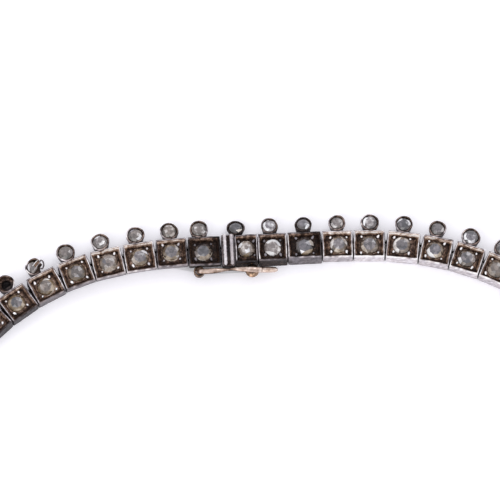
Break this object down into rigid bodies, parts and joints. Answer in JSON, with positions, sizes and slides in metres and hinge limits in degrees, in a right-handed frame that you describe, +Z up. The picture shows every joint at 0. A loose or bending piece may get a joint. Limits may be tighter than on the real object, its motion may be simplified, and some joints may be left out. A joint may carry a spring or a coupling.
{
  "type": "diamond necklace",
  "caption": "Closed row of oxidised silver boxes set with rose-cut diamonds, small cups on its outer side, box clasp and swinging safety catch.",
  "frame": {"origin": "underside of the clasp box, under its middle, where the two ends of the row meet", "axes": "+X along the row at the clasp, +Y out of the loop there, +Z up from the surface that the necklace lies on"},
  "size_m": [0.1361, 0.1235, 0.0034],
  "materials": {
    "oxidised_silver": "hand-cut silver, dark brown in the pockets and bright on worn edges",
    "worn_silver": "rubbed silver with tarnish in the hollows",
    "rose_gold": "worn rose gold wire",
    "diamond": "old rose-cut diamond, greyish over a dark back"
  },
  "bodies": {
    "necklace": {"links_right": "oxidised_silver", "links_left": "oxidised_silver", "hinge_link": "oxidised_silver", "clasp_box": "oxidised_silver", "tongue": "worn_silver", "main_stones": "diamond", "cup_stones": "diamond"},
    "catch": {"safety_catch": "rose_gold"}
  },
  "joints": [
    {"name": "catch_swing", "type": "hinge", "parent": "necklace", "child": "catch", "pos_m": [-0.00785, -0.0033, 0.0019], "axis": [0, 0, -1], "range_deg": [0, 150]}
  ]
}
